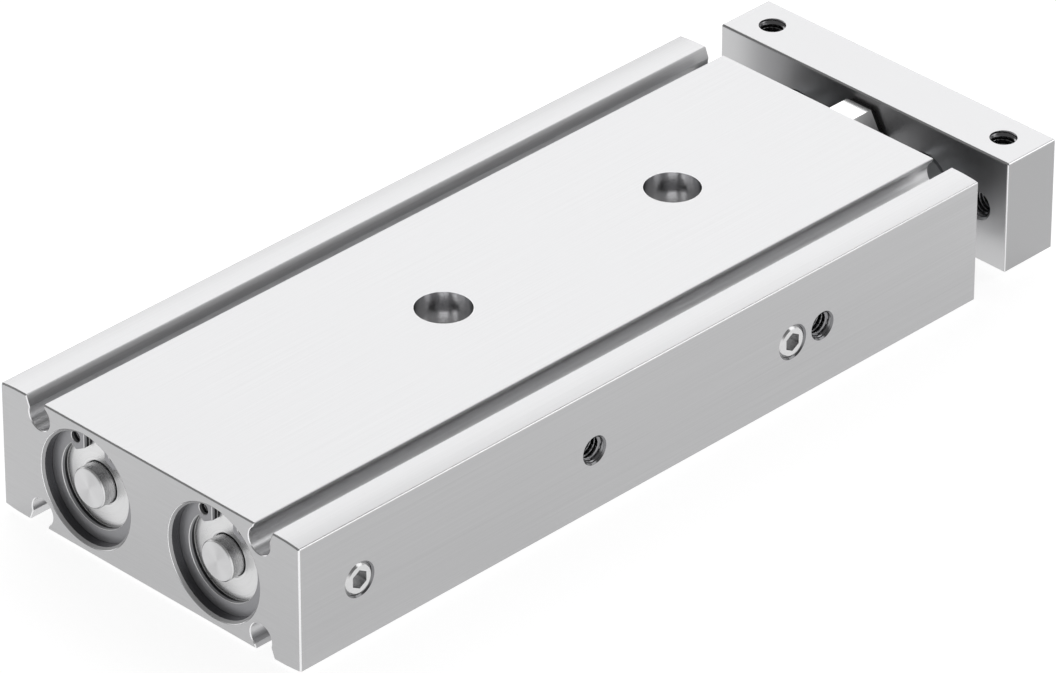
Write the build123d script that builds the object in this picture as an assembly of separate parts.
"""Double piston air cylinder: two bores side by side in one flat extruded housing.

Both piston rods are joined by a yoke plate, so the plate slides without turning.
All sizes are in millimetres. The pieces are drawn with x = 0 at the rear end face
of the housing, y = 0 between the bores and z = 0 at mid height, and are moved to
the part's own frame when they are written: origin on the bottom face, midway
between the two body screw holes, +X towards the yoke plate, +Z up.
"""
from build123d import *
import math
import os

# Cylinder size
bore_d = 16.0
stroke = 75.0
rod_d = 8.0
bore_pitch = 25.0
bore_from_side = 16.5

# Housing, an aluminium extrusion cut to the stroke
body_height = 20.0
base_length = 57.0
camber_width = 4.0
camber_drop = 0.3
corner_round = 0.25
end_break = 0.2

# Sensor slots, two in the top and two in the bottom
slot_d = 4.1
slot_from_side = 7.6
slot_round_depth = 2.4
slot_mouth = 3.5
slot_mouth_from_side = 5.06
slot_lean = 20.5
slot_lip_break = 0.1
slot_end_break = 0.12

# Screw holes through the body, counterbored from both faces
body_hole_d = 4.3
body_hole_pitch = 45.0
body_hole_from_rear = 55.25
body_head_d = 8.3
body_head_depth = 4.4

# Threads in the side faces: mounting threads and air ports
side_thread_d = 4.0
side_thread_floor = 2.0
side_thread_chamfer = 0.24
port_d = 5.0
port_depth = 5.5
port_chamfer = 0.225
port_from_rear = 10.95
passage_d = 2.0
drill_point = 118.0

# Ends of the bores: recess, retaining ring and its groove
recess_step = 0.5
rim_chamfer = 0.4
ring_depth = 1.75
ring_thickness = 1.0
ring_groove_depth = 0.4
ring_width = 2.3
ring_gap = 4.0
ring_break = 0.08
lug_hole_d = 1.7
lug_hole_reach = 1.65
lug_hole_rise = 6.05
lug_tip_rise = 4.05
lug_shoulder_rise = 4.95
lug_flank = 4.7
ring_play = 0.05

# Rear caps
cap_flange = 1.6
cap_plug_length = 4.8
cap_boss_d = 6.1
cap_boss_depth = 0.6
cap_boss_chamfer = 0.2
cap_relief_width = 0.25
cap_relief_depth = 0.2

# Front bearing caps with the rod bush, the rod seal and the wiper
cap_lip = 1.5
bush_wall = 1.0
gland_wall = 2.2
rod_seal_length = 3.1
wiper_length = 3.4
wiper_lip = 1.4
wiper_lip_wall = 0.7
cap_end_chamfer = 0.5

# Round seals of the caps
oring_section = 1.4
oring_side_room = 0.15

# Pistons
port_margin = 0.24
piston_land = 0.6
seal_width = 1.8
seal_radial = 1.8
magnet_length = 2.0
magnet_step = 0.8
magnet_wall = 2.6
washer_thickness = 0.8
rod_spigot_d = 6.0
rod_spigot_length = 3.4
rear_buffer_wall = 1.7
front_buffer_length = 2.0
front_buffer_wall = 2.0
buffer_gap = 0.05

# Piston and rod screws
screw_d = 4.0
screw_head_d = 7.0
screw_head_height = 4.0
screw_key = 3.0
rod_screw_length = 12.0
flat_head_d = 7.4
piston_screw_length = 9.0
flat_head_key = 2.5
thread_room = 1.0

# Yoke plate
plate_gap = 7.36
plate_thickness = 10.0
plate_step = 1.0
plate_break = 0.25
plate_hole_from_rod = 10.0
plate_thread_d = 4.0
plate_thread_depth = 5.0
plate_thread_chamfer = 0.35
rod_seat_depth = 3.0
rod_seat_chamfer = 0.25
plate_head_room = 0.2

# Stop screw between the rods, with its lock nut and rubber buffer
stop_rise = 3.5
stop_d = 5.0
stop_screw_length = 11.8
stop_key = 2.5
stop_nut_flats = 8.0
stop_nut_height = 4.0
stop_nut_seal = 0.75
stop_nut_seal_step = 0.1
stop_nut_break = 0.2
stop_buffer_d = 4.2
stop_buffer_length = 1.5
stop_buffer_stem_d = 2.0
stop_buffer_stem_length = 2.0
stop_gap = 0.1

# Port plugs
plug_length = 4.6
plug_chamfer = 0.4
plug_key = 2.5

# Clearances, each on the radius
slide_fit = 0.05
piston_fit = 0.08
static_fit = 0.03
rod_room = 0.3

# Sizes that follow from the ones above
body_length = base_length + stroke
bore_y = bore_pitch / 2
sides = {"left": bore_y, "right": -bore_y}
half_width = bore_y + bore_from_side
half_height = body_height / 2
bore_r = bore_d / 2
rod_r = rod_d / 2
recess_r = bore_r + recess_step

cap_seat = ring_depth + ring_thickness
recess_depth = cap_seat + cap_flange
rear_cap_face = recess_depth + cap_plug_length

body_hole_x = [body_hole_from_rear, body_hole_from_rear + body_hole_pitch]
side_thread_depth = bore_from_side - bore_r - side_thread_floor

piston_rear = port_from_rear + passage_d / 2 + port_margin
piston_flange = 2 * piston_land + seal_width
magnet_rear = piston_rear + piston_flange
washer_rear = magnet_rear + magnet_length
piston_front = washer_rear + washer_thickness
port_x = [port_from_rear, piston_front + stroke + port_margin + passage_d / 2]

bearing_rear = piston_front + front_buffer_length + stroke + buffer_gap
bearing_front = body_length - cap_seat
bush_rear = bearing_rear + cap_lip
gland_rear = bearing_front - wiper_length - rod_seal_length

plate_rear = body_length + plate_gap
plate_front = plate_rear + plate_thickness
plate_half_width = half_width - plate_step
plate_half_height = half_height - plate_step
rod_front = plate_rear + rod_seat_depth
rod_head_seat = plate_front - plate_head_room - screw_head_height

stop_rear = body_length + stop_gap + stop_buffer_length
stop_front = stop_rear + stop_screw_length


def turned(points):
    """A turned piece: closed outline of (along the axis, radius) points, spun about X."""
    return revolve(make_face(Polyline(points, close=True)), Axis.X)


def rod_of(radius, start, end):
    """A plain round bar along X."""
    return turned([(start, 0), (start, radius), (end, radius), (end, 0)])


def ring_of(inner_r, outer_r, start, end):
    """A plain ring round X."""
    return turned([(start, inner_r), (start, outer_r), (end, outer_r), (end, inner_r)])


def hexagon_bar(flats, start, end):
    """A six-sided bar along X with flats at the top and bottom."""
    outline = RegularPolygon(flats / 2, 6, major_radius=False)
    return extrude(Plane.YZ.offset(start) * outline, end - start)


def drilled_thread(diameter, depth, chamfer_width=0.0):
    """A blind threaded hole at its outer thread diameter: mouth at x = 0, running along +X."""
    radius = diameter / 2
    tip = radius / math.tan(math.radians(drill_point / 2))
    hole = turned([(-1, 0), (-1, radius), (depth, radius), (depth + tip, 0)])
    if chamfer_width:
        mouth = radius + chamfer_width
        hole += turned([(-1, 0), (-1, mouth), (0, mouth), (chamfer_width, radius), (chamfer_width, 0)])
    return hole


def slot_cutter():
    """One sensor slot in the top face, on the left: a round channel with a leaning neck. Its
    edges are broken where it runs out of the two end faces."""
    mouth_outer = half_width - slot_mouth_from_side
    mouth_inner = mouth_outer - slot_mouth
    lean = math.tan(math.radians(slot_lean))
    top = half_height
    bottom = half_height - slot_round_depth
    shift = lean * slot_round_depth
    neck = Polygon(
        [
            (mouth_inner - 2 * slot_lip_break, top + slot_lip_break),
            (mouth_inner, top - slot_lip_break),
            (mouth_inner - shift, bottom),
            (mouth_outer - shift, bottom),
            (mouth_outer, top - slot_lip_break),
            (mouth_outer + 2 * slot_lip_break, top + slot_lip_break),
        ],
        align=None,
    )
    channel = Pos(half_width - slot_from_side, bottom) * Circle(slot_d / 2)
    profile = neck + channel
    cutter = extrude(Plane.YZ.offset(-1) * profile, body_length + 2)
    mouth = offset(profile, slot_end_break, kind=Kind.INTERSECTION)
    flare = extrude(Plane.YZ * mouth, slot_end_break, taper=45)
    flare += extrude(Plane.YZ.offset(-1) * mouth, 1)
    return cutter + flare + Pos(body_length, 0, 0) * mirror(flare, Plane.YZ)


def bore_cutter():
    """Everything that is cut along one bore axis: bore, end recesses, grooves and rims."""
    groove_r = recess_r + ring_groove_depth
    rim_r = recess_r + rim_chamfer
    groove_start = ring_depth - ring_play
    rear_end = [
        (-1, 0),
        (-1, rim_r),
        (0, rim_r),
        (rim_chamfer, recess_r),
        (groove_start, recess_r),
        (groove_start, groove_r),
        (cap_seat, groove_r),
        (cap_seat, recess_r),
        (recess_depth, recess_r),
        (recess_depth, bore_r),
    ]
    front_end = [(body_length - along, radius) for along, radius in reversed(rear_end)]
    return turned(rear_end + front_end)


def make_housing():
    """The extruded housing, with its slots, bores, body holes, threads and air passages."""
    flat_end = half_width - camber_width
    corner = (half_width, half_height - camber_drop)
    quarter = (
        Line((0, half_height), (flat_end, half_height))
        + TangentArc((flat_end, half_height), corner, tangent=(1, 0))
        + Line(corner, (half_width, 0))
    )
    half = quarter + mirror(quarter, Plane.YZ)
    outline = half + mirror(half, Plane.XZ)
    body = extrude(Plane.YZ * make_face(outline), body_length)
    side_edges = body.edges().filter_by(Axis.X).group_by(SortBy.LENGTH)[-1]
    side_edges = side_edges.filter_by(lambda edge: abs(edge.center().Y) > half_width - corner_round)
    body = fillet(side_edges, corner_round)
    ends = body.faces().sort_by(Axis.X)
    body = chamfer(ends[0].edges() + ends[-1].edges(), end_break)

    slot = slot_cutter()
    slots = [slot, mirror(slot, Plane.XZ)]
    slots += [mirror(cutter, Plane.XY) for cutter in slots]
    body -= slots

    bore = bore_cutter()
    body -= [Pos(0, y, 0) * bore for y in sides.values()]

    head_floor = half_height - body_head_depth
    through = Cylinder(body_hole_d / 2, body_height + 2)
    upwards = (Align.CENTER, Align.CENTER, Align.MIN)
    head_room = Cylinder(body_head_d / 2, body_head_depth + 1, align=upwards)
    for x in body_hole_x:
        body -= Pos(x, 0, 0) * through
        body -= Pos(x, 0, head_floor) * head_room
        body -= Pos(x, 0, -head_floor) * Rot(180, 0, 0) * head_room

    mounting_thread = drilled_thread(side_thread_d, side_thread_depth, side_thread_chamfer)
    port = drilled_thread(port_d, port_depth, port_chamfer)
    for x in body_hole_x:
        body -= Pos(x, -half_width, 0) * Rot(0, 0, 90) * mounting_thread
        body -= Pos(x, half_width, 0) * Rot(0, 0, -90) * mounting_thread
    passage = Rot(90, 0, 0) * Cylinder(passage_d / 2, 2 * (half_width - port_depth))
    for x in port_x:
        body -= Pos(x, -half_width, 0) * Rot(0, 0, 90) * port
        body -= Pos(x, half_width, 0) * Rot(0, 0, -90) * port
        body -= Pos(x, 0, 0) * passage
    return body


def make_retaining_ring():
    """A retaining ring with two eared ends, front face at x = 0, gap at the top."""
    outer_r = recess_r + ring_groove_depth - static_fit
    inner_r = outer_r - ring_width
    half_gap = ring_gap / 2
    hole_y = half_gap + lug_hole_reach
    band = Circle(outer_r) - Circle(inner_r)
    band -= Pos(0, outer_r) * Rectangle(ring_gap, 2 * outer_r)
    lug = Polygon(
        [
            (half_gap, lug_shoulder_rise),
            (hole_y, lug_tip_rise),
            (lug_flank, lug_flank),
            (outer_r, outer_r),
            (half_gap, outer_r),
        ],
        align=None,
    )
    lug &= Circle(outer_r)
    hole = Pos(hole_y, lug_hole_rise) * Circle(lug_hole_d / 2)
    half = band + lug - hole
    profile = (half + mirror(half, Plane.YZ)) - [hole, mirror(hole, Plane.YZ)]
    ring = extrude(Plane.YZ * profile, ring_thickness)
    faces = ring.faces().sort_by(Axis.X)
    return chamfer(faces[0].edges() + faces[-1].edges(), ring_break)


def oring_seat(centre):
    """Groove outline and ring of one round seal, centred at a place along X."""
    half = oring_section / 2 + oring_side_room
    floor = bore_r - oring_section
    groove = [(centre - half, floor), (centre + half, floor)]
    ring = revolve(Pos(centre, bore_r - oring_section / 2) * Circle(oring_section / 2 - static_fit), Axis.X)
    return groove, ring


def make_rear_cap():
    """The turned plug that closes the rear of a bore, with a boss to pull it out by."""
    plug_r = bore_r - static_fit
    groove, ring = oring_seat(recess_depth + cap_plug_length / 2)
    floor = groove[0][1]
    boss_r = cap_boss_d / 2
    cap = turned(
        [
            (cap_boss_depth, 0),
            (cap_boss_depth, boss_r - cap_boss_chamfer),
            (cap_boss_depth + cap_boss_chamfer, boss_r),
            (cap_seat + cap_relief_depth, boss_r),
            (cap_seat + cap_relief_depth, boss_r + cap_relief_width),
            (cap_seat, boss_r + cap_relief_width),
            (cap_seat, recess_r - static_fit),
            (recess_depth, recess_r - static_fit),
            (recess_depth, plug_r),
            (groove[0][0], plug_r),
            (groove[0][0], floor),
            (groove[1][0], floor),
            (groove[1][0], plug_r),
            (rear_cap_face, plug_r),
            (rear_cap_face, 0),
        ]
    )
    return cap, ring


def make_bearing_cap():
    """The front cap that carries the rod bush, the rod seal and the wiper."""
    body_r = bore_r - static_fit
    bush_r = rod_r + slide_fit + bush_wall
    gland_r = rod_r + slide_fit + gland_wall
    flange_rear = bearing_front - cap_flange
    groove, ring = oring_seat(flange_rear - oring_section)
    floor = groove[0][1]
    cap = turned(
        [
            (bearing_rear, rod_r + rod_room),
            (bearing_rear, body_r - cap_end_chamfer),
            (bearing_rear + cap_end_chamfer, body_r),
            (groove[0][0], body_r),
            (groove[0][0], floor),
            (groove[1][0], floor),
            (groove[1][0], body_r),
            (flange_rear, body_r),
            (flange_rear, recess_r - static_fit),
            (bearing_front, recess_r - static_fit),
            (bearing_front, gland_r),
            (gland_rear, gland_r),
            (gland_rear, bush_r),
            (bush_rear, bush_r),
            (bush_rear, rod_r + rod_room),
        ]
    )
    bush = ring_of(rod_r + slide_fit, bush_r - static_fit, bush_rear, gland_rear)
    return cap, bush, ring


def make_rod_seal():
    """The cup seal on the rod: a base and two lips that open towards the piston."""
    inner_r = rod_r + slide_fit
    outer_r = inner_r + gland_wall - static_fit
    front = bearing_front - wiper_length
    notch = (inner_r + outer_r) / 2
    depth = (front - gland_rear) / 2
    return turned(
        [
            (gland_rear, inner_r),
            (gland_rear, inner_r + gland_wall / 4),
            (gland_rear + depth, notch),
            (gland_rear, outer_r - gland_wall / 4),
            (gland_rear, outer_r),
            (front, outer_r),
            (front, inner_r + gland_wall / 5),
            (front - depth, inner_r + gland_wall / 5),
        ]
    )


def make_rod_wiper():
    """The wiper in the mouth of the bearing cap, with a lip that stands out of it."""
    inner_r = rod_r + slide_fit
    outer_r = inner_r + gland_wall - static_fit
    rear = bearing_front - wiper_length
    tip = bearing_front + wiper_lip
    return turned(
        [
            (rear, inner_r + gland_wall / 4),
            (rear, outer_r),
            (bearing_front, outer_r),
            (bearing_front, inner_r + wiper_lip_wall),
            (tip, inner_r + wiper_lip_wall / 3),
            (tip, inner_r),
            (bearing_front - wiper_lip, inner_r + gland_wall / 4),
        ]
    )


def make_piston():
    """The piston with its seal groove, a spigot for the magnet and a seat for the rod."""
    outer_r = bore_r - piston_fit
    floor = outer_r - seal_radial
    seal_start = piston_rear + piston_land
    seal_end = seal_start + seal_width
    spigot_r = rod_spigot_d / 2 + magnet_step
    seat = piston_front - rod_spigot_length
    hole_r = screw_d / 2 + static_fit
    head_r = flat_head_d / 2 + static_fit
    return turned(
        [
            (piston_rear, head_r),
            (piston_rear, outer_r),
            (seal_start, outer_r),
            (seal_start, floor),
            (seal_end, floor),
            (seal_end, outer_r),
            (magnet_rear, outer_r),
            (magnet_rear, spigot_r),
            (washer_rear, spigot_r),
            (washer_rear, rod_spigot_d / 2 + static_fit),
            (seat, rod_spigot_d / 2 + static_fit),
            (seat, hole_r),
            (piston_rear + head_r - hole_r, hole_r),
        ]
    )


def make_piston_seal():
    """The piston's cup seal, with a notch between its two lips."""
    outer_r = bore_r - slide_fit
    inner_r = bore_r - piston_fit - seal_radial + static_fit
    start = piston_rear + piston_land + static_fit
    end = start + seal_width - 2 * static_fit
    middle = (inner_r + outer_r) / 2
    notch_start = start + seal_width / 2
    return turned(
        [
            (start, inner_r),
            (start, outer_r - seal_radial / 6),
            (start + seal_width / 4, outer_r),
            (end, outer_r),
            (end, middle + seal_radial / 6),
            (notch_start, middle),
            (end, middle - seal_radial / 6),
            (end, inner_r),
        ]
    )


def make_magnet():
    """The ring magnet that the sensors in the slots feel."""
    inner_r = rod_spigot_d / 2 + magnet_step + static_fit
    return ring_of(inner_r, inner_r + magnet_wall, magnet_rear, washer_rear)


def make_magnet_washer():
    """The washer that the rod's shoulder presses against the magnet."""
    inner_r = rod_spigot_d / 2 + static_fit
    outer_r = inner_r + magnet_step + magnet_wall
    return ring_of(inner_r, outer_r, washer_rear, piston_front)


def make_rear_buffer():
    """The rubber ring on the back of the piston, which lands on the rear cap."""
    inner_r = flat_head_d / 2 + static_fit
    return ring_of(inner_r, inner_r + rear_buffer_wall, rear_cap_face + buffer_gap, piston_rear)


def make_front_buffer():
    """The rubber ring round the rod, which lands on the bearing cap at full stroke."""
    inner_r = rod_r + static_fit
    outer_r = inner_r + front_buffer_wall
    return ring_of(inner_r, outer_r, piston_front, piston_front + front_buffer_length)


def make_piston_rod():
    """The rod, with a spigot for the piston at the rear and a threaded hole in each end."""
    seat = piston_front - rod_spigot_length
    spigot_r = rod_spigot_d / 2
    thread_r = screw_d / 2 + static_fit
    rear_hole = piston_rear + piston_screw_length + thread_room
    front_hole = rod_head_seat - rod_screw_length - thread_room
    return turned(
        [
            (seat, thread_r),
            (seat, spigot_r),
            (piston_front, spigot_r),
            (piston_front, rod_r),
            (rod_front - rod_seat_chamfer, rod_r),
            (rod_front, rod_r - rod_seat_chamfer),
            (rod_front, thread_r),
            (front_hole, thread_r),
            (front_hole, 0),
            (rear_hole, 0),
            (rear_hole, thread_r),
        ]
    )


def make_piston_screw():
    """The flat-head screw that holds the piston on the rod, head flush with the piston."""
    shank_r = screw_d / 2
    head_r = flat_head_d / 2
    start = piston_rear + static_fit
    end = piston_rear + piston_screw_length
    cone_end = start + head_r - shank_r
    body = turned([(start, 0), (start, head_r), (cone_end, shank_r), (end, shank_r), (end, 0)])
    return body - hexagon_bar(flat_head_key, start, cone_end)


def make_rod_screw():
    """The socket screw that holds the yoke plate on a rod."""
    shank_r = screw_d / 2
    head_r = screw_head_d / 2
    head_end = rod_head_seat + screw_head_height
    edge = plate_break
    body = turned(
        [
            (rod_head_seat - rod_screw_length, 0),
            (rod_head_seat - rod_screw_length, shank_r),
            (rod_head_seat, shank_r),
            (rod_head_seat, head_r),
            (head_end - edge, head_r),
            (head_end, head_r - edge),
            (head_end, 0),
        ]
    )
    return body - hexagon_bar(screw_key, head_end - screw_head_height / 2, head_end)


def make_yoke_plate():
    """The plate across the rod ends, with rod seats, screw counterbores and load threads."""
    outline = Rectangle(2 * plate_half_width, 2 * plate_half_height)
    plate = extrude(Plane.YZ.offset(plate_rear) * outline, plate_thickness)
    plate = chamfer(plate.edges(), plate_break)

    seat_r = rod_r + static_fit
    head_room_r = screw_head_d / 2 + plate_head_room
    hole_r = screw_d / 2 + static_fit
    rod_place = turned(
        [
            (plate_rear - 1, 0),
            (plate_rear - 1, seat_r + rod_seat_chamfer),
            (plate_rear, seat_r + rod_seat_chamfer),
            (plate_rear + rod_seat_chamfer, seat_r),
            (rod_front, seat_r),
            (rod_front, hole_r),
            (rod_head_seat, hole_r),
            (rod_head_seat, head_room_r),
            (plate_front + 1, head_room_r),
            (plate_front + 1, 0),
        ]
    )
    plate -= [Pos(0, y, 0) * rod_place for y in sides.values()]
    plate -= Pos(0, 0, stop_rise) * rod_of(stop_d / 2 + static_fit, plate_rear - 1, plate_front + 1)

    load_r = plate_thread_d / 2
    mouth_r = load_r + plate_thread_chamfer
    load_thread = turned(
        [
            (plate_rear - 1, 0),
            (plate_rear - 1, mouth_r),
            (plate_rear, mouth_r),
            (plate_rear + plate_thread_chamfer, load_r),
            (plate_front - plate_thread_chamfer, load_r),
            (plate_front, mouth_r),
            (plate_front + 1, mouth_r),
            (plate_front + 1, 0),
        ]
    )
    edge_thread = drilled_thread(plate_thread_d, plate_thread_depth)
    middle = (plate_rear + plate_front) / 2
    thread_y = bore_y + plate_hole_from_rod
    for y in (thread_y, -thread_y):
        plate -= Pos(0, y, 0) * load_thread
        plate -= Pos(middle, y, plate_half_height) * Rot(0, 90, 0) * edge_thread
        plate -= Pos(middle, y, -plate_half_height) * Rot(0, -90, 0) * edge_thread
    return plate


def make_stop_screw():
    """The stop screw: threaded through the plate, with a key socket at the front."""
    radius = stop_d / 2
    edge = plug_chamfer
    stem_r = stop_buffer_stem_d / 2 + static_fit
    body = turned(
        [
            (stop_rear + stop_buffer_stem_length, 0),
            (stop_rear + stop_buffer_stem_length, stem_r),
            (stop_rear, stem_r),
            (stop_rear, radius - edge),
            (stop_rear + edge, radius),
            (stop_front - edge, radius),
            (stop_front, radius - edge),
            (stop_front, 0),
        ]
    )
    return body - hexagon_bar(stop_key, stop_front - stop_key, stop_front)


def make_stop_buffer():
    """The rubber tip that meets the housing when the yoke comes home."""
    start = body_length + stop_gap
    stem_end = stop_rear + stop_buffer_stem_length - static_fit
    stem_r = stop_buffer_stem_d / 2
    head_r = stop_buffer_d / 2
    edge = plug_chamfer
    return turned(
        [
            (start, 0),
            (start, head_r - edge),
            (start + edge, head_r),
            (stop_rear, head_r),
            (stop_rear, stem_r),
            (stem_end, stem_r),
            (stem_end, 0),
        ]
    )


def make_stop_nut():
    """The lock nut: six flats, corners chamfered at the rear, and a bonded seal at the plate."""
    start = plate_rear - stop_nut_height
    seal = plate_rear - stop_nut_seal
    corner_r = stop_nut_flats / 2 / math.cos(math.radians(30))
    face_r = stop_nut_flats / 2 - stop_nut_break
    slope = (corner_r - face_r) * math.tan(math.radians(30))
    blank = turned([(start, 0), (start, face_r), (start + slope, corner_r), (seal, corner_r), (seal, 0)])
    nut = blank & hexagon_bar(stop_nut_flats, start, seal)
    nut += hexagon_bar(stop_nut_flats - 2 * stop_nut_seal_step, seal, plate_rear)
    return nut - rod_of(stop_d / 2 + static_fit, start - 1, plate_rear + 1)


def make_port_plug():
    """A threaded plug with a key socket, outer face at x = 0, running along +X."""
    radius = port_d / 2 - static_fit
    edge = plug_chamfer
    body = turned(
        [
            (0, 0),
            (0, radius - edge),
            (edge, radius),
            (plug_length - edge, radius),
            (plug_length, radius - edge),
            (plug_length, 0),
        ]
    )
    socket = Rot(90, 0, 0) * hexagon_bar(plug_key, 0, plug_key)
    return body - socket


def make_pieces():
    """Every piece by name, in the drawing frame."""
    pieces = {"housing": make_housing(), "yoke_plate": make_yoke_plate()}

    rear_cap, rear_oring = make_rear_cap()
    bearing_cap, bush, front_oring = make_bearing_cap()
    ring = make_retaining_ring()
    front_ring = Pos(body_length, 0, 0) * mirror(ring, Plane.YZ)
    per_bore = {
        "rear_cap": rear_cap,
        "rear_cap_oring": rear_oring,
        "rear_circlip": Pos(ring_depth, 0, 0) * ring,
        "bearing_cap": bearing_cap,
        "bearing_cap_oring": front_oring,
        "bearing_bush": bush,
        "rod_seal": make_rod_seal(),
        "rod_wiper": make_rod_wiper(),
        "front_circlip": Pos(-ring_depth, 0, 0) * front_ring,
        "piston_rod": make_piston_rod(),
        "piston": make_piston(),
        "piston_seal": make_piston_seal(),
        "magnet": make_magnet(),
        "magnet_washer": make_magnet_washer(),
        "piston_screw": make_piston_screw(),
        "rear_buffer": make_rear_buffer(),
        "front_buffer": make_front_buffer(),
        "rod_screw": make_rod_screw(),
    }
    for side, y in sides.items():
        for name, piece in per_bore.items():
            pieces[f"{name}_{side}"] = Pos(0, y, 0) * piece

    plug = make_port_plug()
    for name, x in zip(("port_plug_rear", "port_plug_front"), port_x):
        pieces[name] = Pos(x, -half_width, 0) * Rot(0, 0, 90) * plug

    on_stop_axis = Pos(0, 0, stop_rise)
    pieces["stop_screw"] = on_stop_axis * make_stop_screw()
    pieces["stop_buffer"] = on_stop_axis * make_stop_buffer()
    pieces["stop_lock_nut"] = on_stop_axis * make_stop_nut()
    return pieces


os.makedirs("parts", exist_ok=True)
origin_shift = Pos(-(body_hole_from_rear + body_hole_pitch / 2), 0, half_height)
for node, shape in make_pieces().items():
    export_step(origin_shift * shape, f"parts/{node}.step")
